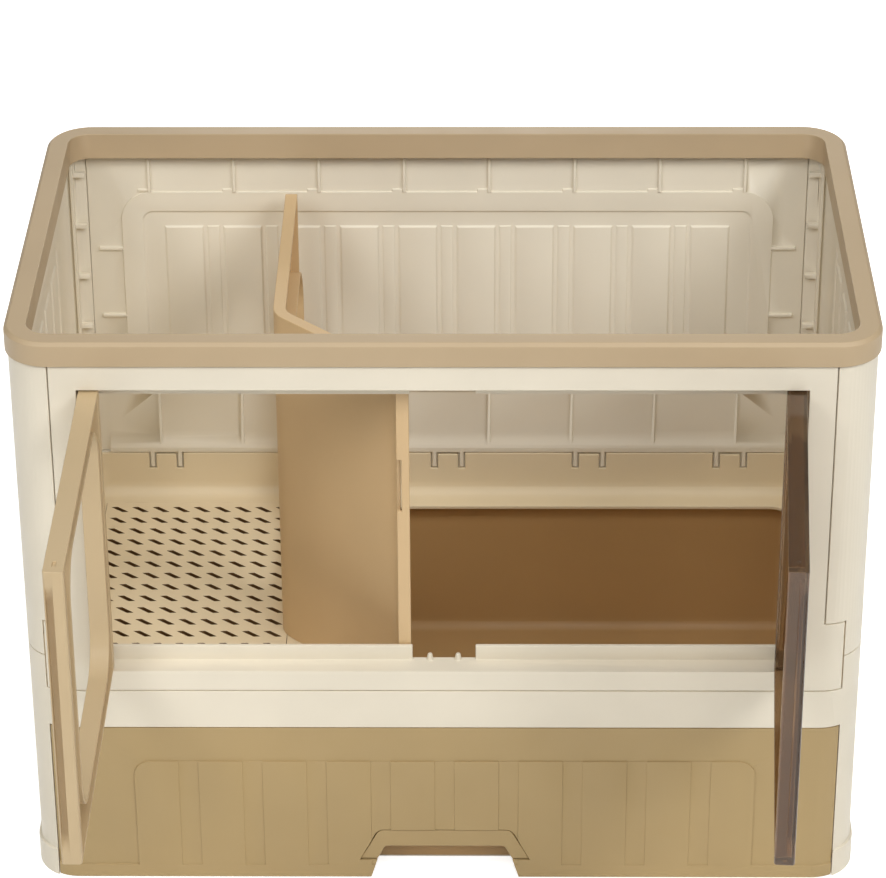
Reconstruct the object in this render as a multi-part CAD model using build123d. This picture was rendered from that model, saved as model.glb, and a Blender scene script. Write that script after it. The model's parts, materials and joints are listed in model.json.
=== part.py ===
from build123d import *
import os

# Litter box enclosure, in millimetres: X to the right, Y to the back, Z up.
# The origin is on the floor, in the middle of the outline. The doors stand open and the drawer is shut.

# Whole enclosure
width = 600.0
depth = 354.0
height = 444.0
overhang = 2.0
corner_radius = 30.0
wall = 3.0
seam = 0.8
fit = 0.4
overrun = 12.0

# Levels and places of the main seams
bay_height = 131.8
beam_height = 31.0
sill_height = 16.8
header_height = 37.0
side_seam_rise = 27.2
jog_rise = 56.2
jog_step = 15.7

# Base
base_wall = 4.0
foot_height = 22.0
floor_thickness = 3.0
floor_setback = 26.0
ledge_width = 8.0
ledge_thickness = 3.0
guide_width = 3.0
guide_height = 14.0

# Deck and grid
deck_drop = 5.3
deck_thickness = 3.0
deck_wall = 2.5
deck_round = 11.0
seat_width = 4.0
grid_play = 0.2
grid_side_inset = 22.6
grid_end_inset = 18.6
grid_tuck = 3.5
slot_pitch = 16.3
slot_row_pitch = 16.65
slot_margin = 2.0
slot_length = 15.2
slot_width = 3.4
slot_angle = -40.0
litter_side_inset = 24.1
litter_end_inset = 23.6
litter_corner = 14.0
litter_margin = 7.0

# Snap prongs of the back panel and their slots in the deck
snap_count = 5
snap_inset = 74.0
snap_width = 16.0
prong_width = 3.2
prong_gap = 1.2
prong_drop = 12.5
rail_height = 4.0
cove_height = 13.0

# Relief of the moulded panels
relief = 1.2
low_relief = 0.6
field_count = 10
field_gap = 14.8
field_rib = 9.5
field_end_margin = 29.0
field_side_margin = 33.0
border_inset = 48.0
border_rise = 54.2
border_drop = 53.0
border_width = 17.5
border_corner = 24.0
coffer_count = 8
coffer_inset = 22.5
coffer_rib = 2.2
coffer_depth = 2.5
coffer_foot = 9.0
side_field_count = 5
side_field_margin = 27.0
side_border_inset = 43.0

# Corner interlock between back and side panels
hook_count = 5
hook_rise = 19.0
hook_drop = 35.5
hook_height = 4.0
hook_depth = 4.0
hook_setback = 5.0
flange_depth = 12.0
flange_wall = 2.5
strip_width = 16.5
lap_length = 10.0
lap_wall = 2.4
shiplap_wall = 1.3
shiplap_length = 7.0
skirt_drop = 6.0
tie_count = 3
tie_rise = 10.0
tie_pitch = 58.0

# Front frame
column_width = 48.5
stop_height = 11.5
stop_setback = 16.0
catch_half = 22.5
catch_spread = 10.0
peg_radius = 2.5
peg_height = 5.0
peg_taper = 8.0
peg_sides = 6

# Top rim
rim_height = 18.0
rim_width = 15.6
rim_top = 2.5
rim_skirt = 2.0
rim_inner_drop = 2.5
rim_bevel = 2.4

# Partition
partition_drop = 47.5
partition_left = 122.5
partition_end = 32.5
partition_toe = 24.7
partition_skin = 2.5
partition_flange = 9.0
bend_radius = 24.0
back_play = 0.8
doorway_near_margin = 26.5
doorway_far_margin = 15.3
doorway_sill = 14.0
doorway_drop = 44.5
doorway_corner = 45.0
jamb_wall = 2.5
jamb_proud = 3.5
latch_drop = 55.5
latch_height = 41.0
latch_width = 3.5
latch_depth = 6.0

# Doors
door_thickness = 13.5
door_play = 1.4
hinge_gap = 1.25
centre_gap = 2.0
door_skin = 2.5
door_rim = 2.5
free_rim = 8.0
hinge_stile = 15.0
door_edge_bevel = 1.2
entry_side_margin = 28.5
entry_top_margin = 14.0
entry_bottom_margin = 18.0
entry_corner = 28.0
pin_radius = 2.5
pin_length = 2.6
pin_play = 0.05
boss_radius = 5.5
boss_play = 0.3
groove_width = 5.0
groove_depth = 5.5
groove_offset = 1.0
groove_end = 10.0
groove_lead = 14.0
catch_slot = 6.0
catch_slot_width = 2.4
catch_slot_depth = 1.2
left_open = 90.0
right_open = 86.0

# Drawer
drawer_inset = 15.0
drawer_low = 1.0
drawer_gap = 0.5
fascia = 3.0
plinth_top = 11.8
plinth_proud = 1.2
front_field_inset = 59.0
front_field_gap = 14.3
front_field_drop = 28.3
front_field_corner = 12.0
tray_side_inset = 5.0
tray_front_inset = 23.0
tray_back_inset = 14.0
tray_clearance = 4.0
tray_wall = 2.5
tray_corner = 16.0
tray_round = 10.0
tray_lip = 2.0
tray_lip_height = 2.5
runner_play = 0.3
web_wall = 2.5
web_half_shares = (0.34, 0.66, 0.97)

# Drawer pull
pull_bottom = 17.0
pull_top = 42.0
pull_bottom_half = 61.5
pull_top_half = 48.0
pull_corner = 7.0
grip_top = 28.0
grip_bottom_half = 49.0
grip_top_half = 43.5
grip_corner = 3.0
pull_lip = 3.0
pull_lip_wall = 2.0
grip_shelf = 13.0
notch_half = 54.0

# Derived places of the walls and levels
wall_x = width / 2 - overhang
wall_y = depth / 2 - overhang
wall_top = height - rim_top - fit
front = -wall_y
beam_bottom = bay_height
beam_top = beam_bottom + beam_height
side_seam_level = beam_top + side_seam_rise
jog_level = beam_top + jog_rise
seam_half = wall_x - corner_radius
jog_half = seam_half + jog_step
ledge_low = beam_top + sill_height
ledge_high = height - header_height
opening_half = wall_x - column_width

# Derived places of the deck and divider
deck_level = beam_bottom - deck_drop
deck_bottom = deck_level - deck_thickness
deck_x = wall_x - base_wall - fit
deck_y = wall_y - base_wall - fit
deck_corner = corner_radius - base_wall - fit
grid_left = deck_x - grid_side_inset
grid_right = partition_left - grid_tuck
grid_half = deck_y - grid_end_inset
litter_right = deck_x - litter_side_inset
litter_half = deck_y - litter_end_inset
divider_front = front + stop_setback + wall + back_play
divider_back = deck_y - deck_wall - deck_round - back_play
divider_bend = divider_front + partition_toe + partition_left - partition_end
partition_top = height - partition_drop

# Derived places of the panel relief
border_half = wall_x - border_inset
border_low = beam_top + border_rise
border_high = height - border_drop
back_field_half = border_half - field_side_margin
field_low = border_low + field_end_margin
field_high = border_high - field_end_margin
side_border_half = wall_y - side_border_inset
side_field_half = side_border_half - side_field_margin

# Derived places of the doors and drawer
door_low = ledge_low + door_play
door_high = ledge_high - door_play
hinge_radius = door_thickness / 2
hinge_x = opening_half - hinge_gap - hinge_radius
hinge_y = front + hinge_radius
drawer_half = wall_x - drawer_inset
drawer_high = beam_bottom - drawer_gap
front_field_half = drawer_half - front_field_inset
tray_half = drawer_half - tray_side_inset
tray_front = wall_y - tray_front_inset
tray_back = wall_y - tray_back_inset
tray_top = deck_bottom - tray_clearance


def plate(sketch, low, high):
    """Extrudes a sketch drawn in X and Y from Z = low to Z = high."""
    return extrude(Plane.XY.offset(low) * sketch, high - low)


def slab(x_size, y_size, radius, low, high):
    """Upright prism on a rounded rectangle, centred on the Z axis."""
    return plate(RectangleRounded(x_size, y_size, radius), low, high)


def tube(x_half, y_half, radius, thickness, low, high):
    """Wall that runs round a rounded rectangle, measured from its outer face inwards."""
    x_inner = x_half - thickness
    y_inner = y_half - thickness
    inside = slab(2 * x_inner, 2 * y_inner, radius - thickness, low - overrun, high + overrun)
    return slab(2 * x_half, 2 * y_half, radius, low, high) - inside


def block(x, y, z):
    """Box between the two ends given for each axis."""
    middle = Pos((x[0] + x[1]) / 2, (y[0] + y[1]) / 2, (z[0] + z[1]) / 2)
    return middle * Box(x[1] - x[0], y[1] - y[0], z[1] - z[0])


def across(sketch, near, far):
    """Extrudes a sketch drawn in X and Z from Y = near to Y = far."""
    return extrude(Plane.XZ.offset(-far) * sketch, far - near)


def along(sketch, left, right):
    """Extrudes a sketch drawn in Y and Z from X = left to X = right."""
    return extrude(Plane.YZ.offset(left) * sketch, right - left)


def upright_sketch(left, right, low, high, radius):
    """Rounded rectangle in the upright plane between two sides and two levels."""
    return Pos((left + right) / 2, (low + high) / 2) * RectangleRounded(right - left, high - low, radius)


def panel_sketch(half, low, high, radius):
    """Rounded rectangle in the upright plane, symmetric about the middle."""
    return upright_sketch(-half, half, low, high, radius)


def frame_sketch(half, low, high, radius, band):
    """Rounded border of even width in the upright plane."""
    inner = panel_sketch(half - band, low + band, high - band, radius - band)
    return panel_sketch(half, low, high, radius) - inner


def field_sketch(half, low, high, count, gap):
    """Row of equal upright fields with even gaps."""
    size = (2 * half - (count - 1) * gap) / count
    places = [-half + size / 2 + i * (size + gap) for i in range(count)]
    return Sketch() + [Pos(x, (low + high) / 2) * Rectangle(size, high - low) for x in places]


def rib_sketch(half, low, high, count, gap, rib):
    """Upright ribs in the middle of the gaps of a row of fields."""
    pitch = (2 * half + gap) / count
    places = [(i - count / 2) * pitch for i in range(1, count)]
    return Sketch() + [Pos(x, (low + high) / 2) * Rectangle(rib, high - low) for x in places]


def spread(count, low, high):
    """Evenly spaced places from low to high."""
    return [low + i * (high - low) / (count - 1) for i in range(count)]


def coved_hollow(x_half, y_half, radius, cove, low, high):
    """Inside of a tray with upright rounded corners and coved floor edges."""
    hollow = slab(2 * x_half, 2 * y_half, radius, low, high)
    mouth = high + 2 * cove
    return hollow & across(panel_sketch(x_half, low, mouth, cove), -y_half, y_half) & along(
        panel_sketch(y_half, low, mouth, cove), -x_half, x_half
    )


def mirrored(part):
    """The same piece on the other side of the middle."""
    return mirror(part, about=Plane.YZ)


def both(part):
    """The piece together with its mirror image."""
    return part + mirrored(part)


def base_tub():
    """Lower box: walls, foot band, floor, deck ledges and drawer guides."""
    walls = tube(wall_x, wall_y, corner_radius, base_wall, 0, side_seam_level)
    foot = slab(width, depth, corner_radius + overhang, 0, foot_height)
    inner_x = wall_x - base_wall
    inner_y = wall_y - base_wall
    inner_radius = corner_radius - base_wall
    foot -= slab(2 * inner_x, 2 * inner_y, inner_radius, -overrun, foot_height + overrun)
    shell = walls + foot
    bay_half = drawer_half + drawer_gap
    shell -= block((-bay_half, bay_half), (-depth, front + corner_radius), (-overrun, beam_bottom))
    shell -= block((-jog_half, jog_half), (-depth, depth), (beam_top, side_seam_level + overrun))
    floor_front = front + floor_setback
    floor = slab(2 * inner_x, 2 * inner_y, inner_radius, 0, floor_thickness)
    floor -= block((-width, width), (-depth, floor_front), (-overrun, floor_thickness + overrun))
    ledge_x = inner_x - ledge_width
    ledges = slab(2 * inner_x, 2 * inner_y, inner_radius, deck_bottom - ledge_thickness, deck_bottom)
    ledges -= block((-width, width), (-depth, front + corner_radius), (0, height))
    ledges -= block((-ledge_x, ledge_x), (-depth, inner_y - ledge_width), (0, height))
    guide_x = tray_half + fit
    guide_top = floor_thickness + guide_height
    guide = block((guide_x, guide_x + guide_width), (floor_front, inner_y), (0, guide_top))
    return shell + floor + ledges + both(guide)


def litter_outline():
    """Litter opening of the deck beside the divider."""
    edge = partition_flange + litter_margin
    left = edge - partition_left
    middle = edge - partition_end
    slant = edge * 2**0.5 - partition_left + divider_bend
    corners = [(left, litter_half), (litter_right, litter_half), (litter_right, -litter_half)]
    corners += [(middle, -litter_half), (middle, slant - middle), (left, slant - left)]
    outline = make_face(Polyline(*corners, close=True))
    return fillet(outline.vertices(), litter_corner)


def snap_places():
    """Middles of the snaps along the back."""
    return spread(snap_count, snap_inset - wall_x, wall_x - snap_inset)


def litter_deck():
    """Tray over the drawer with a grid seat, a litter opening and snap tongues along the back."""
    inner_x = deck_x - deck_wall
    inner_y = deck_y - deck_wall
    deep = deck_bottom - overrun
    body = slab(2 * deck_x, 2 * deck_y, deck_corner, deck_bottom, beam_top)
    inner_corner = deck_corner - deck_wall
    body -= coved_hollow(inner_x, inner_y, inner_corner, deck_round, deck_level, beam_top + overrun)
    body += plate(grid_sketch(grid_play + seat_width), deck_bottom - deck_thickness, deck_bottom)
    body -= plate(grid_sketch(grid_play), deck_bottom, deck_level + overrun)
    body -= plate(grid_sketch(-seat_width), deep, deck_level)
    body -= plate(litter_outline(), deep, deck_level + overrun)
    tongue = snap_width / 2
    slot_end = tongue + prong_width + 2 * prong_gap
    through = (inner_y - overrun, deck_y + overrun)
    for x in snap_places():
        snap = block((x - slot_end, x + slot_end), through, (beam_top - prong_drop - prong_gap, height))
        body -= snap - block((x - tongue, x + tongue), through, (0, beam_top - prong_gap))
    return body


def grid_sketch(grow):
    """Outline of the grid plate, grown by the given play."""
    middle = -(grid_left + grid_right) / 2
    return Pos(middle, 0) * Rectangle(grid_left - grid_right + 2 * grow, 2 * (grid_half + grow))


def slot_sketch():
    """One drain slot with slanted ends."""
    half = slot_length / 2
    side = slot_width / 2
    points = [(half, side), (slot_width - half, side)]
    points += [(-x, -y) for x, y in points]
    return make_face(Polyline(*points, close=True))


def litter_grid():
    """Step plate with rows of slanted slots."""
    middle = Pos(-(grid_left + grid_right) / 2, 0, 0)
    slot = Rot(0, 0, slot_angle) * slot_sketch()
    cutter = plate(slot, deck_bottom - overrun, deck_level + overrun)
    columns = int((grid_left - grid_right - 2 * slot_margin) / slot_pitch)
    rows = int((2 * grid_half - 2 * slot_margin) / slot_row_pitch)
    places = GridLocations(slot_pitch, slot_row_pitch, columns, rows)
    return plate(grid_sketch(0), deck_bottom, deck_level) - [middle * place * cutter for place in places]


def end_plate():
    """Blank of the front frame, with shoulders low down that reach round the corners."""
    low = beam_top + seam
    ring = tube(wall_x, wall_y, corner_radius, wall, low, wall_top)
    upper = block((-seam_half, seam_half), (-depth, front + corner_radius), (low, height))
    shoulders = block((-jog_half + seam, jog_half - seam), (-depth, front + corner_radius), (low, jog_level))
    return ring & (upper + shoulders)


def front_frame():
    """Door frame: returns round the opening, hinge ledges, stop flanges and catch pegs."""
    stop_face = front + stop_setback
    inside = stop_face + wall
    span = (-opening_half, opening_half)
    hole = block(span, (-depth, 0), (ledge_low, ledge_high))
    outer_half = opening_half + wall
    returns = block((-outer_half, outer_half), (front, inside), (ledge_low - wall, ledge_high + wall))
    stop = block(span, (stop_face, inside), (ledge_low, ledge_high))
    window = block(span, (-depth, 0), (ledge_low + stop_height, ledge_high - stop_height))
    catch = block((-catch_half, catch_half), (-depth, 0), (ledge_low, ledge_high))
    frame = end_plate() - hole + (returns - hole) + (stop - window - catch)
    upright = (Align.CENTER, Align.CENTER, Align.MIN)
    peg = extrude(RegularPolygon(peg_radius, peg_sides), peg_height, taper=peg_taper)
    socket = Cylinder(pin_radius + pin_play, wall, align=upright)
    peg_y = inside - peg_radius
    for side in (-1, 1):
        frame += Pos(side * catch_spread, peg_y, ledge_low) * peg
        frame += Pos(side * catch_spread, peg_y, ledge_high) * Rot(180, 0, 0) * peg
        frame -= Pos(side * hinge_x, hinge_y, ledge_low - wall) * socket
        frame -= Pos(side * hinge_x, hinge_y, ledge_high) * socket
    return frame


def side_panel():
    """Right wall with rounded corners, a lap behind the front seam, rear hooks and moulded fields."""
    inner_x = wall_x - wall
    inner_y = wall_y - wall
    seam_x = seam_half + seam
    levels = (jog_level + seam, height - rim_height)
    ring = tube(wall_x, wall_y, corner_radius, wall, side_seam_level + seam, wall_top)
    panel = ring & block((seam_x, width), (-depth, depth), (0, height))
    corner = block((0, jog_half), (front - overrun, front + corner_radius), (0, jog_level + seam))
    panel -= corner + mirror(corner, about=Plane.XZ)
    lap_end = seam_half + lap_length
    lap_face = fit - inner_y
    panel += block((seam_half - lap_length, lap_end), (lap_face, lap_face + lap_wall), levels)
    panel += block((seam_x, lap_end), (-inner_y, lap_face), levels)
    strip_x = seam_half + strip_width
    flange = block((strip_x, strip_x + flange_wall), (inner_y - flange_depth, wall_y), levels)
    hook_y = (inner_y - hook_setback - hook_depth, inner_y - hook_setback)
    for level in spread(hook_count, border_low + hook_rise, height - hook_drop):
        flange += block((seam_x, strip_x), hook_y, (level - hook_height / 2, level + hook_height / 2))
    panel += flange & slab(2 * wall_x, 2 * wall_y, corner_radius, 0, height)
    rebate_x = (0, seam_half + shiplap_length + fit)
    panel -= block(rebate_x, (inner_y - overrun, inner_y + shiplap_wall + fit), (jog_level + seam, height))
    skirt_x = wall_x - base_wall - fit
    skirt_y = wall_y - corner_radius
    skirt_z = (side_seam_level - skirt_drop, side_seam_level + skirt_drop)
    panel += block((skirt_x - lap_wall, skirt_x), (-skirt_y, skirt_y), skirt_z)
    panel += block((skirt_x, inner_x), (-skirt_y, skirt_y), (side_seam_level + seam, skirt_z[1]))
    row = (side_field_half, field_low, field_high, side_field_count, field_gap)
    border = frame_sketch(side_border_half, border_low, border_high, border_corner, border_width)
    panel += along(field_sketch(*row) + border, inner_x - relief, inner_x)
    panel -= along(field_sketch(*row), wall_x - relief, wall_x + overrun)
    return panel


def cove_sketch(foot, wall_face, low, high):
    """Section of the cove above the snap rail, hollowed towards the wall."""
    tangent = TangentArc((wall_face, high), (foot, low), tangent=(0, -1))
    return make_face(tangent + Polyline((foot, low), (wall_face, low), (wall_face, high)))


def back_panel():
    """Back wall with coffers, a raised border, fields and ribs, a cove and snap prongs."""
    panel = mirror(end_plate(), about=Plane.XZ)
    inner = wall_y - wall
    low = beam_top + seam
    shiplap_x = seam_half + shiplap_length
    shiplap_z = (jog_level, wall_top)
    panel += block((-shiplap_x, shiplap_x), (inner, inner + shiplap_wall), shiplap_z)
    row = (back_field_half, field_low, field_high, field_count, field_gap)
    border = frame_sketch(border_half, border_low, border_high, border_corner, border_width)
    panel += across(field_sketch(*row) + border, inner - relief, inner)
    panel += across(rib_sketch(*row, field_rib), inner - low_relief, inner)
    panel -= across(field_sketch(*row), wall_y - relief, wall_y + overrun)
    rib_y = (inner - coffer_depth, inner)
    foot_y = (inner - relief, inner)
    thick = coffer_rib / 2
    rail_top = low + rail_height
    for x in spread(coffer_count, coffer_inset - border_half, border_half - coffer_inset):
        for bottom, top in ((rail_top, border_low), (border_high, height - rim_height)):
            panel += block((x - thick, x + thick), rib_y, (bottom, top))
        panel += block((x - coffer_foot, x), foot_y, (border_high, border_high + coffer_rib))
    for i in range(tie_count):
        level = border_low + tie_rise + i * tie_pitch
        panel += both(block((border_half, seam_half), rib_y, (level - thick, level + thick)))
    deck_face = deck_y - deck_wall
    panel += block((-seam_half, seam_half), (deck_face, inner), (low, rail_top))
    panel += along(cove_sketch(deck_face, inner, rail_top, rail_top + cove_height), -seam_half, seam_half)
    prong = snap_width / 2 + prong_gap + prong_width / 2
    for x in snap_places():
        for place in (x - prong, x + prong):
            sides = (place - prong_width / 2, place + prong_width / 2)
            panel += block(sides, (deck_face, deck_y), (beam_top - prong_drop, low))
    return panel


def top_rim():
    """Channel ring that caps the walls, with a deeper inner skirt."""
    low = height - rim_height
    skirt_low = low - rim_inner_drop
    deep = skirt_low - overrun
    inner_x = width - 2 * rim_width
    inner_y = depth - 2 * rim_width
    hole_radius = corner_radius + overhang - rim_width
    ring = slab(width, depth, corner_radius + overhang, skirt_low, height)
    ring = chamfer(ring.edges().group_by(Axis.Z)[-1], rim_bevel)
    ring -= slab(inner_x, inner_y, hole_radius, deep, height + overrun)
    grown = 2 * rim_skirt
    core = slab(inner_x + grown, inner_y + grown, hole_radius + rim_skirt, deep, height)
    walls = slab(2 * (wall_x + fit), 2 * (wall_y + fit), corner_radius + fit, deep, height - rim_top)
    below = block((-width, width), (-depth, depth), (deep, low))
    return ring - (walls + below - core)


def divider_line(shift, trim):
    """Plan of the divider's left face, shifted towards the litter side, with its ends trimmed."""
    left = shift - partition_left
    right = shift - partition_end
    slant = shift * 2**0.5 - partition_left + divider_bend
    points = [(left, divider_back - trim), (left, slant - left), (right, slant - right)]
    points.append((right, divider_front + trim))
    return FilletPolyline(*points, radius=(bend_radius - shift, bend_radius + shift))


def divider_band(near, far, trim):
    """Plan strip between two shifts of the divider's line."""
    first = divider_line(near, trim)
    second = divider_line(far, trim)
    return make_face(Curve() + [first, second, Line(first @ 0, second @ 0), Line(first @ 1, second @ 1)])


def partition():
    """Bent divider: a skin with a flange all round, and a cat doorway in its rear wing."""
    body = plate(divider_band(0, partition_flange, 0), deck_level, partition_top)
    pocket = divider_band(partition_skin, partition_flange + overrun, partition_skin)
    body -= plate(pocket, deck_level + partition_skin, partition_top - partition_skin)
    near = divider_bend + doorway_near_margin
    far = divider_back - doorway_far_margin
    sill = deck_level + doorway_sill
    head = partition_top - doorway_drop
    hole = upright_sketch(near, far, sill, head, doorway_corner)
    jamb_sides = (near - jamb_wall, far + jamb_wall, sill - jamb_wall, head + jamb_wall)
    jamb = upright_sketch(*jamb_sides, doorway_corner + jamb_wall)
    left = -partition_left
    body += along(jamb, left, left + partition_flange + jamb_proud)
    body -= along(hole, left - overrun, left + partition_flange + overrun)
    latch_x = (-partition_end - overrun, latch_width - partition_end)
    latch_y = (divider_front - overrun, divider_front + latch_depth)
    latch_top = partition_top - latch_drop
    body -= block(latch_x, latch_y, (latch_top - latch_height, latch_top))
    return body


def door_blank():
    """Shut left door: rounded hinge edge, moulded pins, a bearing boss, finger groove and catch slots."""
    free = -centre_gap / 2
    plan = Pos((free - hinge_x) / 2, hinge_y) * Rectangle(hinge_x + free, door_thickness)
    plan += Pos(-hinge_x, hinge_y) * Circle(hinge_radius)
    body = plate(plan, door_low, door_high)
    body = chamfer(body.edges().filter_by(Axis.Z).group_by(Axis.X)[-1], door_edge_bevel)
    boss_end = door_play - boss_play
    pin_end = door_play + pin_length
    pivot = Pos(-hinge_x, hinge_y)
    body += plate(pivot * Circle(boss_radius), door_low - boss_end, door_low)
    body += plate(pivot * Circle(pin_radius), door_low - pin_end, door_high + pin_end)
    near = front + groove_offset
    low = door_low + groove_end
    high = door_high - groove_end
    deep = free - groove_depth
    profile = [(free + overrun, low), (free, low), (deep, low + groove_lead)]
    profile += [(deep, high - groove_lead), (free, high), (free + overrun, high)]
    body -= across(make_face(Polyline(*profile, close=True)), near, near + groove_width)
    slot = Pos(free - catch_spread, hinge_y) * Rectangle(catch_slot, catch_slot_width)
    body -= plate(slot, door_high - catch_slot_depth, door_high + overrun)
    body -= plate(slot, door_low - overrun, door_low + catch_slot_depth)
    return body


def pocket_sketch():
    """Hollow on the inner side of a door, inside its rim."""
    left = hinge_stile - hinge_x - hinge_radius
    right = -centre_gap / 2 - free_rim
    size = (right - left, door_high - door_low - 2 * door_rim)
    return Pos((left + right) / 2, (door_low + door_high) / 2) * Rectangle(*size)


def entry_sketch(grow):
    """Cat entry of the left door, grown for its rim."""
    left = -hinge_x - hinge_radius + entry_side_margin - grow
    right = -centre_gap / 2 - entry_side_margin + grow
    low = door_low + entry_bottom_margin - grow
    high = door_high - entry_top_margin + grow
    return upright_sketch(left, right, low, high, entry_corner + grow)


def left_door():
    """Tan frame door with the cat entry, swung open."""
    back = front + door_thickness
    door = door_blank()
    door -= across(pocket_sketch() - entry_sketch(door_rim), front + door_skin, back + overrun)
    door -= across(entry_sketch(0), front - overrun, back + overrun)
    return door.rotate(Axis((-hinge_x, hinge_y, 0), (0, 0, 1)), -left_open)


def right_door():
    """Smoky door without an entry, swung open."""
    door = door_blank() - across(pocket_sketch(), front + door_skin, front + door_thickness + overrun)
    return mirrored(door).rotate(Axis((hinge_x, hinge_y, 0), (0, 0, 1)), right_open)


def drawer_tray():
    """Litter tub with rounded floor edges and a turned-out lip."""
    low = floor_thickness + runner_play
    y_half = (tray_back + tray_front) / 2
    body = slab(2 * tray_half, 2 * y_half, tray_corner, low, tray_top)
    lip_x = tray_half + tray_lip
    lip_y = y_half + tray_lip
    body += slab(2 * lip_x, 2 * lip_y, tray_corner + tray_lip, tray_top - tray_lip_height, tray_top)
    inner_x = tray_half - tray_wall
    inner_y = y_half - tray_wall
    inner_corner = tray_corner - tray_wall
    body -= coved_hollow(inner_x, inner_y, inner_corner, tray_round, low + tray_wall, tray_top + overrun)
    return Pos(0, (tray_back - tray_front) / 2, 0) * body


def trapezoid(low, high, low_half, high_half):
    """Upright trapezoid, symmetric about the middle."""
    points = [(-low_half, low), (low_half, low), (high_half, high), (-high_half, high)]
    return make_face(Polyline(*points, close=True))


def arched(face, radius):
    """The same face with its upper corners rounded."""
    return fillet(face.vertices().group_by(Axis.Y)[-1], radius)


def pull_outline(grow):
    """Outer edge of the drawer pull."""
    low_half = pull_bottom_half + grow
    high_half = pull_top_half + grow
    return arched(trapezoid(pull_bottom - grow, pull_top + grow, low_half, high_half), pull_corner + grow)


def grip_outline():
    """Finger gap under the pull."""
    low_half = grip_bottom_half + overrun * (grip_bottom_half - grip_top_half) / (grip_top - pull_bottom)
    return arched(trapezoid(pull_bottom - overrun, grip_top, low_half, grip_top_half), grip_corner)


def drawer_front():
    """Fascia that follows the rounded corners, with plinth, raised fields and webs to the tub."""
    span = block((-drawer_half, drawer_half), (-depth, front + corner_radius), (drawer_low, drawer_high))
    face = tube(wall_x, wall_y, corner_radius, fascia, drawer_low, drawer_high) & span
    proud = plinth_proud + fascia
    plinth_radius = corner_radius + plinth_proud
    plinth = tube(wall_x + plinth_proud, wall_y + plinth_proud, plinth_radius, proud, drawer_low, plinth_top)
    face += plinth & span
    front_field_top = drawer_high - front_field_drop
    row = field_sketch(front_field_half, plinth_top, front_field_top, field_count, front_field_gap)
    board = panel_sketch(front_field_half, plinth_top - overrun, front_field_top, front_field_corner)
    board -= Pos(0, plinth_top - overrun) * Rectangle(width, 2 * overrun)
    face += across(row & board, front - relief, front)
    face += across(board, front - low_relief, front)
    face -= across(pull_outline(seam), front - overrun, front + fascia + overrun)
    slope = (notch_half - grip_bottom_half) / (pull_bottom - drawer_low)
    gap = trapezoid(drawer_low - overrun, pull_bottom, notch_half + overrun * slope, grip_bottom_half)
    face -= across(gap, front - overrun, front + fascia + overrun)
    web_top = tray_top - tray_lip_height - fit
    for share in web_half_shares:
        x = drawer_half * share
        face += both(block((x - web_wall, x), (front + fascia, -tray_front), (plinth_top, web_top)))
    return face


def drawer_handle():
    """Arch let into the fascia, held by a lip behind it, with a shelf for the fingers."""
    back = front + fascia
    arch = across(pull_outline(0) - grip_outline(), front, back)
    lip = pull_outline(seam + pull_lip) - grip_outline()
    arch += across(lip, back, back + pull_lip_wall)
    shelf_half = grip_top_half - grip_corner
    arch += block((-shelf_half, shelf_half), (back, back + grip_shelf), (grip_top, grip_top + pull_lip_wall))
    return arch


os.makedirs("parts", exist_ok=True)
right_side = side_panel()
pieces = {
    "base_tub": base_tub(),
    "litter_deck": litter_deck(),
    "litter_grid": litter_grid(),
    "front_frame": front_frame(),
    "left_side_panel": mirrored(right_side),
    "right_side_panel": right_side,
    "back_panel": back_panel(),
    "top_rim": top_rim(),
    "partition": partition(),
    "left_door": left_door(),
    "right_door": right_door(),
    "drawer_tray": drawer_tray(),
    "drawer_front": drawer_front(),
    "drawer_handle": drawer_handle(),
}
for name, piece in pieces.items():
    export_step(piece, f"parts/{name}.step")
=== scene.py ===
"""Dresses the litter box enclosure.

Gives its mouldings rounded edges and plastic finishes, and sets up a pale floor, soft lamps
and a camera.
"""
import bisect
import json
import math

import bmesh
import bpy
from bpy.props import FloatProperty, FloatVectorProperty, PointerProperty
from mathutils import Matrix, Vector
from mathutils.geometry import intersect_point_line


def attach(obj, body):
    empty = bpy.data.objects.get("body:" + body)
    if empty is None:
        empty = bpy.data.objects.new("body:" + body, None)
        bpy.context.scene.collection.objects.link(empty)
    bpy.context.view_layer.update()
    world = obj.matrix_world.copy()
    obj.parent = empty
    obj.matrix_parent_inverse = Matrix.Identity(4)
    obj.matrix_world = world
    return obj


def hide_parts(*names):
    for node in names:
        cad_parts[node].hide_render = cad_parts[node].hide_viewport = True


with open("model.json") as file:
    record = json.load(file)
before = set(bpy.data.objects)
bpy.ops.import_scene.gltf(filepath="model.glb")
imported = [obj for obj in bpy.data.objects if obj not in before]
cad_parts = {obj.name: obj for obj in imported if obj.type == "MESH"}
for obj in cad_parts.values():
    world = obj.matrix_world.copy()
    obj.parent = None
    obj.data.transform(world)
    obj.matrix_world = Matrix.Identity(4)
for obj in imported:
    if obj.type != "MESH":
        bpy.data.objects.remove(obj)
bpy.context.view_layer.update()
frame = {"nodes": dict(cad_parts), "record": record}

bl_info = {
    "name": "Litter box enclosure",
    "version": (1, 0, 0),
    "blender": (4, 5, 0),
    "location": "View3D > Sidebar > Enclosure",
    "description": "Dresses a moulded litter box enclosure and sets up its studio",
    "category": "Object",
}

MM = 0.001


def tint(red, green, blue):
    """Linear colour of three 8-bit screen values, by the usual screen curve."""
    shares = [v / 255 for v in (red, green, blue)]
    return [s / 12.92 if s <= 0.04045 else ((s + 0.055) / 1.055) ** 2.4 for s in shares]


def length(name, description, default):
    """Setting for a length."""
    return FloatProperty(name=name, description=description, default=default, min=0.0, unit="LENGTH")


def colour(name, description, default):
    """Setting for a colour."""
    return FloatVectorProperty(
        name=name, description=description, default=default, min=0.0, max=1.0, size=3, subtype="COLOR"
    )


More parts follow.
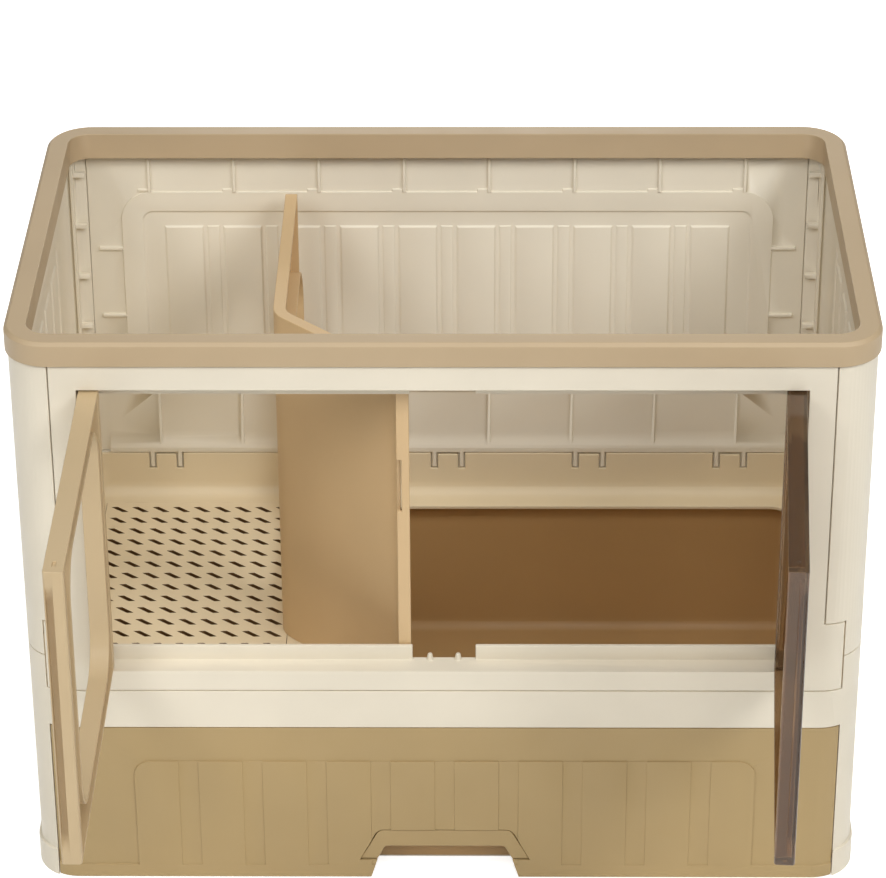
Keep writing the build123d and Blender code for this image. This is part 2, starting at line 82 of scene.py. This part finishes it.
def share(name, description, default):
    """Setting that runs from none to all."""
    return FloatProperty(
        name=name, description=description, default=default, min=0.0, max=1.0, subtype="FACTOR"
    )


class EnclosureEdges(bpy.types.PropertyGroup):
    """Roundings of the moulded edges."""

    walls: length("Walls", "Rounding on the cream walls and the base", 0.6 * MM)
    deck: length("Deck", "Rounding on the deck and its opening", 0.7 * MM)
    slots: length("Slots", "Rounding on the rims of the drain slots", 0.3 * MM)
    rim: length("Rim", "Rounding on the top rim", 0.6 * MM)
    divider: length("Divider", "Rounding on the divider", 0.6 * MM)
    doors: length("Doors", "Rounding on the doors", 0.5 * MM)
    drawer: length("Drawer", "Rounding on the drawer", 0.5 * MM)


class EnclosureFinish(bpy.types.PropertyGroup):
    """Colours and surface of the plastics."""

    cream: colour("Cream", "Plastic of the walls, base and door frame", tint(235, 226, 206))
    tan: colour("Tan", "Plastic of the top rim", tint(191, 168, 134))
    wheat: colour("Wheat", "Plastic of the entry door", tint(202, 178, 139))
    beige: colour("Beige", "Plastic of the deck and its grid", tint(235, 218, 184))
    # Painted shade: a dark brown on the walls of the drain slots that stands for the shade deep in
    # them
    painted_slot_shade: colour("Umber", "Shaded walls of the drain slots", tint(110, 82, 48))
    sand: colour("Sand", "Plastic of the divider", tint(215, 184, 139))
    khaki: colour("Khaki", "Plastic of the drawer front", tint(177, 152, 106))
    brown: colour("Brown", "Plastic of the litter tub", tint(192, 155, 104))
    smoke: colour("Smoke", "See-through plastic of the right door", tint(158, 128, 95))
    clearness: share("Clearness", "Share of the light that passes into the right door", 0.85)
    roughness: share("Roughness", "Mean roughness of the satin plastics", 0.46)
    cloud: share("Cloud", "Strength of the slow colour drift in a moulding", 0.03)
    grain_size: length("Grain", "Size of the fine moulding grain", 0.7 * MM)
    grain_depth: length("Grain depth", "Height of the fine moulding grain", 0.02 * MM)


class EnclosureStage(bpy.types.PropertyGroup):
    """Floor, lamps and camera."""

    floor_colour: colour("Floor", "Colour of the floor", tint(246, 245, 243))
    floor_size: length("Floor size", "Side of the square floor", 9.0)
    floor_glow: share("Floor glow", "Brightness of the floor to the eye and in reflections", 0.75)
    ambient: share("Ambient", "Strength of the even light from all round", 0.16)
    lens: FloatProperty(
        name="Lens", description="Focal length on a 36 mm sensor", default=148.27, unit="CAMERA"
    )


def put(name, data):
    """Adds an object for this data to the scene."""
    piece = bpy.data.objects.new(name, data)
    bpy.context.scene.collection.objects.link(piece)
    return piece


WELD = 0.01 * MM  # corners nearer than this become one
SLIVER = 0.2 * MM  # facets thinner than this are closed up
FINE_SLIVER = 0.05 * MM  # the same on pieces with fine relief
FLAT = math.cos(math.radians(0.2))  # facets that agree this closely make one flat
SIDEWAYS = 0.7  # flats that face along x more than this are cut along y
CUT_DIGITS = 4  # decimals of a cut's place
CREASE = math.radians(32)  # edges sharper than this are rounded
EDGE_SHARE = 0.4  # part of the room beside an edge that its rounding may take
EDGE_SEGMENTS = 2  # facets across a rounding
LEAST_WEIGHT = 0.15  # edges left with less of the rounding than this stay sharp
UPRIGHT = 0.1  # most that the wall of a step may lean
LOW_STEP = 1.3 * MM  # steps lower than this can be sloped
STEP_SLOPE = 1  # run of a sloped step over its height
SAME_WAY = 0.9  # pulls that agree more than this count as one


def in_order(items):
    """Items as the keys of a dict, which keep their order where those of a set don't."""
    return dict.fromkeys(items)


def patches(faces, alike):
    """Splits faces into joined patches, each of faces that are like its first one."""
    left = in_order(faces)
    while left:
        start = next(iter(left))
        found = in_order([start])
        queue = [start]
        while queue:
            for edge in queue.pop().edges:
                for face in edge.link_faces:
                    if face in left and face not in found and alike(start, face):
                        found[face] = None
                        queue.append(face)
        for face in found:
            del left[face]
        yield found


def hole_middles(region, axis):
    """Places along an axis of the middles of the holes in a flat patch."""
    sides = {edge for face in region for edge in face.edges}
    rim = {edge for edge in sides if sum(face in region for face in edge.link_faces) == 1}
    spans = []
    while rim:
        loop = [rim.pop()]
        for edge in loop:
            near = {e for vert in edge.verts for e in vert.link_edges if e in rim}
            rim -= near
            loop.extend(near)
        places = [vert.co.dot(axis) for edge in loop for vert in edge.verts]
        spans.append((max(places) - min(places), (max(places) + min(places)) / 2))
    holes = sorted(spans)[:-1]
    return sorted({round(middle, CUT_DIGITS) for size, middle in holes})


def join_flats(form):
    """Joins the triangles of each flat patch, cut through the middles of its holes."""
    for region in patches(form.faces, lambda start, face: face.normal.dot(start.normal) > FLAT):
        sideways = abs(next(iter(region)).normal.x) > SIDEWAYS
        axis = Vector((0, 1, 0)) if sideways else Vector((1, 0, 0))
        cuts = hole_middles(region, axis)

        def strip(face):
            return bisect.bisect(cuts, face.calc_center_median().dot(axis))

        for place in cuts:
            edges = in_order(edge for face in region for edge in face.edges)
            verts = in_order(vert for face in region for vert in face.verts)
            cut = bmesh.ops.bisect_plane(
                form, geom=[*region, *edges, *verts], plane_co=axis * place, plane_no=axis, dist=WELD
            )
            region = in_order(item for item in cut["geom"] if isinstance(item, bmesh.types.BMFace))
        for patch in list(patches(region, lambda start, face: strip(face) == strip(start))):
            if len(patch) > 1:
                bmesh.ops.dissolve_faces(form, faces=list(patch))


def goes_on(vert, edge, other):
    """True if one edge runs on smoothly into the other at this corner."""
    onward = other.other_vert(vert).co - vert.co
    return (vert.co - edge.other_vert(vert).co).angle(onward) < CREASE


def across(edge, face):
    """Face on the other side of an edge."""
    return next(other for other in edge.link_faces if other is not face)


def step_height(wall, edge, up):
    """Height of an upright wall's edge over the foot of the wall, where the ground is level."""
    for foot in wall.edges:
        if foot.is_manifold and not foot.is_convex and across(foot, wall).normal.dot(up) > FLAT:
            return (edge.verts[0].co - foot.verts[0].co).dot(up)
    return 0


def joint_shift(pulls):
    """Shift that meets the first pull and the next one that goes another way."""
    first, run = pulls[0]
    for other, other_run in pulls[1:]:
        lean = first.dot(other)
        if abs(lean) < SAME_WAY:
            spread = 1 - lean**2
            along_first = (run - other_run * lean) / spread
            along_other = (other_run - run * lean) / spread
            return first * along_first + other * along_other
    return first * run


def low_steps(form):
    """Upright walls of a low relief, each with its upper edges, their heights and the way up."""
    steps = {}
    for wall in form.faces:
        for edge in wall.edges:
            if edge.is_manifold and edge.is_convex:
                up = across(edge, wall).normal
                upright = abs(wall.normal.dot(up)) < UPRIGHT
                height = step_height(wall, edge, up) if upright else 0
                if 0 < height < LOW_STEP:
                    steps.setdefault(wall, []).append((edge, height, up))
    return steps


def is_tall(face, up):
    """True if a face stands higher than a low step."""
    levels = [vert.co.dot(up) for vert in face.verts]
    return max(levels) - min(levels) > LOW_STEP


def is_plain(chain, up):
    """True if a chain of walls meets no taller face and has no sharp inner corner."""
    for edge in {edge for wall in chain for edge in wall.edges}:
        outside = [face for face in edge.link_faces if face not in chain]
        if any(is_tall(face, up) for face in outside):
            return False
        if not outside and not edge.is_convex and edge.calc_face_angle() > CREASE:
            return False
    return True


def slope_steps(form):
    """Leans the plain outlines of a low relief back from their feet and gives their faces."""
    steps = low_steps(form)
    slopes = {}
    pulls = {}
    for chain in patches(steps, lambda start, wall: True):
        *_, up = steps[next(iter(chain))][0]
        if is_plain(chain, up):
            slopes |= chain
    for wall in slopes:
        for edge, height, _ in steps[wall]:
            for vert in edge.verts:
                pulls.setdefault(vert, []).append((-wall.normal, STEP_SLOPE * height))
    for vert, pull in pulls.items():
        vert.co += joint_shift(pull)
    form.normal_update()
    return slopes


def sharp_runs(form, slopes):
    """Runs of sharp edges and of edges beside a slope, each smooth along its length."""
    sharp = {}
    for edge in form.edges:
        if edge.is_manifold:
            beside_slope = sum(face in slopes for face in edge.link_faces) == 1
            if beside_slope or edge.calc_face_angle() > CREASE:
                sharp[edge] = None
    left = in_order(sharp)
    while left:
        run = [left.popitem()[0]]
        for edge in run:
            for vert in edge.verts:
                others = [other for other in vert.link_edges if other in sharp and other is not edge]
                if len(others) == 1 and others[0] in left and goes_on(vert, edge, others[0]):
                    del left[others[0]]
                    run.append(others[0])
        yield run


def reach(vert, edge):
    """Distance from a corner to the nearest point of an edge."""
    start, end = (corner.co for corner in edge.verts)
    along = intersect_point_line(vert.co, start, end)[1]
    return (start.lerp(end, min(max(along, 0), 1)) - vert.co).length


def rooms(form, runs):
    """Length of each run of sharp edges, or its least distance to another run in the same face."""
    run_of = {edge: index for index, run in enumerate(runs) for edge in run}
    room = [sum(edge.calc_length() for edge in run) for run in runs]
    for face in form.faces:
        sides = [edge for edge in face.edges if edge in run_of]
        for vert in face.verts:
            own = {run_of[edge] for edge in sides if vert in edge.verts}
            for edge in sides:
                if own and run_of[edge] not in own:
                    gap = reach(vert, edge)
                    for index in (*own, run_of[edge]):
                        room[index] = min(room[index], gap)
    return room


def weigh_edges(form, rounding, slopes):
    """Gives each run of sharp edges the part of the rounding that it has room for.

    A run that is too tight gets none.
    """
    weights = form.edges.layers.float.new("bevel_weight_edge")
    runs = list(sharp_runs(form, slopes))
    for run, room in zip(runs, rooms(form, runs)):
        weight = min(1, EDGE_SHARE * room / rounding)
        for edge in run:
            edge[weights] = weight if weight > LEAST_WEIGHT else 0


def moulding(node, rounding, sliver=SLIVER, sloped=False):
    """Copy of a CAD piece with its flat facets joined and its edges rounded.

    Its low relief is sloped if so asked.
    """
    piece = put(f"{node}_moulding", frame["nodes"][node].data.copy())
    mesh = piece.data
    mesh.materials.clear()
    form = bmesh.new()
    form.from_mesh(mesh)
    bmesh.ops.remove_doubles(form, verts=form.verts, dist=WELD)
    bmesh.ops.dissolve_degenerate(form, edges=form.edges, dist=sliver)
    form.normal_update()
    join_flats(form)
    weigh_edges(form, rounding, slope_steps(form) if sloped else {})
    form.to_mesh(mesh)
    form.free()
    mesh.polygons.foreach_set("use_smooth", [True] * len(mesh.polygons))
    mesh.set_sharp_from_angle(angle=CREASE)
    bevel = piece.modifiers.new("edge_rounding", "BEVEL")
    bevel.width = rounding
    bevel.segments = EDGE_SEGMENTS
    bevel.limit_method = "WEIGHT"
    bevel.use_clamp_overlap = False
    bevel.harden_normals = True
    body = next(b for b, nodes in frame["record"]["behaviour"]["bodies"].items() if node in nodes)
    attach(piece, body)
    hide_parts(node)
    return piece


def dress(piece, material):
    """Adds a material to a piece."""
    piece.data.materials.append(material)


NOISE_LOW = 0.3
NOISE_HIGH = 0.7
DRIFT_SIZE = 90 * MM
SHEEN_SIZE = 25 * MM
SHEEN_SPREAD = 0.05
SATIN_IOR = 1.46
GRAIN_STRENGTH = 0.5
CLEAR_IOR = 1.49
CLEAR_SHEEN_SIZE = 30 * MM
CLEAR_ROUGHNESS = (0.08, 0.16)


def new_material(name):
    """New material with its node tree and its shader."""
    material = bpy.data.materials.new(name)
    material.use_nodes = True
    tree = material.node_tree
    return material, tree, tree.nodes["Principled BSDF"]


def noise(tree, size, detail):
    """Noise in object space with features of about this size."""
    place = tree.nodes.new("ShaderNodeTexCoord")
    node = tree.nodes.new("ShaderNodeTexNoise")
    node.inputs["Scale"].default_value = 1 / size
    node.inputs["Detail"].default_value = detail
    tree.links.new(place.outputs["Object"], node.inputs["Vector"])
    return node.outputs["Fac"]


def ramp(tree, source, low, high):
    """Value that runs from low to high over the middle of a noise."""
    node = tree.nodes.new("ShaderNodeMapRange")
    node.inputs["From Min"].default_value = NOISE_LOW
    node.inputs["From Max"].default_value = NOISE_HIGH
    node.inputs["To Min"].default_value = low
    node.inputs["To Max"].default_value = high
    tree.links.new(source, node.inputs["Value"])
    return node.outputs["Result"]


def satin_plastic(name, base):
    """Satin moulded plastic: slow colour drift, uneven sheen and a fine grain."""
    finish = bpy.context.scene.enclosure_finish
    material, tree, shader = new_material(name)
    drift = tree.nodes.new("ShaderNodeMix")
    drift.data_type = "RGBA"
    drift.inputs["A"].default_value = (*[c * (1 - finish.cloud) for c in base], 1)
    drift.inputs["B"].default_value = (*[min(c * (1 + finish.cloud), 1) for c in base], 1)
    cloud = ramp(tree, noise(tree, DRIFT_SIZE, detail=2), 0, 1)
    tree.links.new(cloud, drift.inputs["Factor"])
    tree.links.new(drift.outputs["Result"], shader.inputs["Base Color"])
    low, high = finish.roughness - SHEEN_SPREAD, finish.roughness + SHEEN_SPREAD
    sheen = ramp(tree, noise(tree, SHEEN_SIZE, detail=3), low, high)
    tree.links.new(sheen, shader.inputs["Roughness"])
    shader.inputs["IOR"].default_value = SATIN_IOR
    grain = tree.nodes.new("ShaderNodeBump")
    grain.inputs["Strength"].default_value = GRAIN_STRENGTH
    grain.inputs["Distance"].default_value = finish.grain_depth
    tree.links.new(noise(tree, finish.grain_size, detail=2), grain.inputs["Height"])
    tree.links.new(grain.outputs["Normal"], shader.inputs["Normal"])
    return material


def smoked_plastic(name, base):
    """Clear plastic with a grey-brown tint and a faintly uneven sheen."""
    material, tree, shader = new_material(name)
    shader.inputs["Base Color"].default_value = (*base, 1)
    shader.inputs["Transmission Weight"].default_value = bpy.context.scene.enclosure_finish.clearness
    shader.inputs["IOR"].default_value = CLEAR_IOR
    sheen = ramp(tree, noise(tree, CLEAR_SHEEN_SIZE, detail=2), *CLEAR_ROUGHNESS)
    tree.links.new(sheen, shader.inputs["Roughness"])
    return material


class ENCLOSURE_OT_walls(bpy.types.Operator):
    """Rounds and finishes the base, the walls and the door frame"""

    bl_idname = "enclosure.walls"
    bl_label = "Walls and base"

    def execute(self, context):
        cream = satin_plastic("cream_plastic", context.scene.enclosure_finish.cream)
        rounding = context.scene.enclosure_edges.walls
        for node in ("base_tub", "front_frame"):
            dress(moulding(node, rounding), cream)
        for node in ("left_side_panel", "right_side_panel"):
            dress(moulding(node, rounding, sloped=True), cream)
        dress(moulding("back_panel", rounding, FINE_SLIVER, sloped=True), cream)
        return {"FINISHED"}


SLOT_WALL = 0.5  # faces of the grid whose normals rise less than this are walls of its slots, which take a painted shade


class ENCLOSURE_OT_deck(bpy.types.Operator):
    """Rounds and finishes the deck and its slotted grid, with painted shade on the walls of the slots
    """

    bl_idname = "enclosure.deck"
    bl_label = "Deck and grid"

    def execute(self, context):
        edges = context.scene.enclosure_edges
        finish = context.scene.enclosure_finish
        beige = satin_plastic("deck_plastic", finish.beige)
        dress(moulding("litter_deck", edges.deck), beige)
        grid = moulding("litter_grid", edges.slots)
        dress(grid, beige)
        # Painted shade: the upright walls of the slots get the dark brown in place of the beige
        # plastic
        dress(grid, satin_plastic("slot_painted_shade", finish.painted_slot_shade))
        upright = [abs(face.normal.z) < SLOT_WALL for face in grid.data.polygons]
        grid.data.polygons.foreach_set("material_index", upright)
        return {"FINISHED"}


class ENCLOSURE_OT_rim(bpy.types.Operator):
    """Rounds and finishes the top rim"""

    bl_idname = "enclosure.rim"
    bl_label = "Top rim"

    def execute(self, context):
        tan = satin_plastic("rim_plastic", context.scene.enclosure_finish.tan)
        dress(moulding("top_rim", context.scene.enclosure_edges.rim), tan)
        return {"FINISHED"}


class ENCLOSURE_OT_divider(bpy.types.Operator):
    """Rounds and finishes the bent divider"""

    bl_idname = "enclosure.divider"
    bl_label = "Divider"

    def execute(self, context):
        sand = satin_plastic("divider_plastic", context.scene.enclosure_finish.sand)
        dress(moulding("partition", context.scene.enclosure_edges.divider), sand)
        return {"FINISHED"}


class ENCLOSURE_OT_doors(bpy.types.Operator):
    """Rounds and finishes the entry door and the smoky door"""

    bl_idname = "enclosure.doors"
    bl_label = "Doors"

    def execute(self, context):
        finish = context.scene.enclosure_finish
        rounding = context.scene.enclosure_edges.doors
        dress(moulding("left_door", rounding), satin_plastic("entry_door_plastic", finish.wheat))
        dress(moulding("right_door", rounding), smoked_plastic("smoked_plastic", finish.smoke))
        return {"FINISHED"}


class ENCLOSURE_OT_drawer(bpy.types.Operator):
    """Rounds and finishes the drawer front, its pull and the litter tub"""

    bl_idname = "enclosure.drawer"
    bl_label = "Drawer"

    def execute(self, context):
        finish = context.scene.enclosure_finish
        rounding = context.scene.enclosure_edges.drawer
        khaki = satin_plastic("khaki_plastic", finish.khaki)
        dress(moulding("drawer_front", rounding, FINE_SLIVER), khaki)
        dress(moulding("drawer_handle", rounding), khaki)
        dress(moulding("drawer_tray", rounding), satin_plastic("tub_plastic", finish.brown))
        return {"FINISHED"}


CAMERA_PLACE = Vector((26.298, -2350.509, 1597.51)) * MM
CAMERA_YAW = math.radians(0.686)
CAMERA_TILT = math.radians(60.557)
CAMERA_ROLL = math.radians(-0.308)
SENSOR_WIDTH = 36
FLOOR_ROUGHNESS = 0.9
WHITE = (1, 1, 1, 1)


def floor_material(floor_colour, brightness):
    """Pale floor that keeps soft shadows and stays near white to the eye and in reflections."""
    material, tree, shader = new_material("floor_paper")
    shader.inputs["Base Color"].default_value = (*floor_colour, 1)
    shader.inputs["Roughness"].default_value = FLOOR_ROUGHNESS
    rays = tree.nodes.new("ShaderNodeLightPath")
    seen = rays.outputs["Is Camera Ray"]
    for kind in ("Is Glossy Ray", "Is Transmission Ray"):
        either = tree.nodes.new("ShaderNodeMath")
        either.operation = "MAXIMUM"
        tree.links.new(seen, either.inputs[0])
        tree.links.new(rays.outputs[kind], either.inputs[1])
        seen = either.outputs[0]
    glow = tree.nodes.new("ShaderNodeMath")
    glow.operation = "MULTIPLY"
    glow.inputs[1].default_value = brightness
    tree.links.new(seen, glow.inputs[0])
    tree.links.new(glow.outputs[0], shader.inputs["Emission Strength"])
    shader.inputs["Emission Color"].default_value = WHITE
    return material


def white_world(ambient):
    """World that is white to the eye and a soft even light to the object."""
    world = bpy.data.worlds.new("studio")
    bpy.context.scene.world = world
    world.use_nodes = True
    tree = world.node_tree
    back = tree.nodes["Background"]
    back.inputs["Color"].default_value = WHITE
    rays = tree.nodes.new("ShaderNodeLightPath")
    level = tree.nodes.new("ShaderNodeMapRange")
    level.inputs["To Min"].default_value = ambient
    level.inputs["To Max"].default_value = 1
    tree.links.new(rays.outputs["Is Camera Ray"], level.inputs["Value"])
    tree.links.new(level.outputs["Result"], back.inputs["Strength"])


LAMP_AIM = Vector((0, 0, 0.2))

# Place in metres, side of the square in metres and power in watts.
LAMPS = {
    "left_lamp": ((-2.4, -2.7, 3.3), 1.8, 54),
    "right_lamp": ((2.4, -2.7, 3.3), 1.8, 86),
    "top_lamp": ((0.0, -0.1, 3.3), 1.6, 16),
    "front_lamp": ((0.0, -3.8, 4.0), 2.2, 62),
    "back_lamp": ((0.0, 2.8, 0.9), 1.0, 14),
}


class ENCLOSURE_OT_stage(bpy.types.Operator):
    """Sets up the floor, the soft lamps and the camera"""

    bl_idname = "enclosure.stage"
    bl_label = "Studio"

    def execute(self, context):
        scene = context.scene
        stage = scene.enclosure_stage
        scene.view_settings.view_transform = "Standard"
        half = stage.floor_size / 2
        sheet = bpy.data.meshes.new("floor")
        corners = [(-half, -half, 0), (half, -half, 0), (half, half, 0), (-half, half, 0)]
        sheet.from_pydata(corners, [], [(0, 1, 2, 3)])
        floor = put("floor", sheet)
        dress(floor, floor_material(stage.floor_colour, stage.floor_glow))
        white_world(stage.ambient)
        for name, (place, size, watts) in LAMPS.items():
            lamp = bpy.data.lights.new(name, "AREA")
            lamp.size = size
            lamp.energy = watts
            holder = put(name, lamp)
            holder.location = place
            holder.rotation_euler = (LAMP_AIM - Vector(place)).to_track_quat("-Z", "Y").to_euler()
        optics = bpy.data.cameras.new("photo_camera")
        optics.sensor_fit = "HORIZONTAL"
        optics.sensor_width = SENSOR_WIDTH
        optics.lens = stage.lens
        camera = put("photo_camera", optics)
        turn = Matrix.Rotation(CAMERA_YAW, 4, "Z") @ Matrix.Rotation(CAMERA_TILT, 4, "X")
        roll = Matrix.Rotation(CAMERA_ROLL, 4, "Z")
        camera.matrix_world = Matrix.Translation(CAMERA_PLACE) @ turn @ roll
        scene.camera = camera
        return {"FINISHED"}


OPERATORS = (
    ENCLOSURE_OT_walls,
    ENCLOSURE_OT_deck,
    ENCLOSURE_OT_rim,
    ENCLOSURE_OT_divider,
    ENCLOSURE_OT_doors,
    ENCLOSURE_OT_drawer,
    ENCLOSURE_OT_stage,
)

GROUPS = {
    "enclosure_edges": EnclosureEdges,
    "enclosure_finish": EnclosureFinish,
    "enclosure_stage": EnclosureStage,
}


class ENCLOSURE_PT_sidebar(bpy.types.Panel):
    """Lists the settings and the pieces of the enclosure"""

    bl_idname = "ENCLOSURE_PT_sidebar"
    bl_label = "Litter box enclosure"
    bl_space_type = "VIEW_3D"
    bl_region_type = "UI"
    bl_category = "Enclosure"

    def draw(self, context):
        for group in GROUPS:
            settings = getattr(context.scene, group)
            for name in settings.__annotations__:
                self.layout.prop(settings, name)
        for operator in OPERATORS:
            self.layout.operator(operator.bl_idname)


def register():
    """Adds the classes and the scene's settings."""
    for kind in (*GROUPS.values(), *OPERATORS, ENCLOSURE_PT_sidebar):
        bpy.utils.register_class(kind)
    for name, group in GROUPS.items():
        setattr(bpy.types.Scene, name, PointerProperty(type=group))


def unregister():
    """Takes the scene's settings and the classes away again."""
    for name in GROUPS:
        delattr(bpy.types.Scene, name)
    for kind in (ENCLOSURE_PT_sidebar, *reversed(OPERATORS), *reversed(GROUPS.values())):
        bpy.utils.unregister_class(kind)


def main():
    """Builds the pieces and the studio."""
    register()
    for operator in OPERATORS:
        getattr(bpy.ops.enclosure, operator.bl_idname.split(".")[1])()


if __name__ == "__main__":
    main()
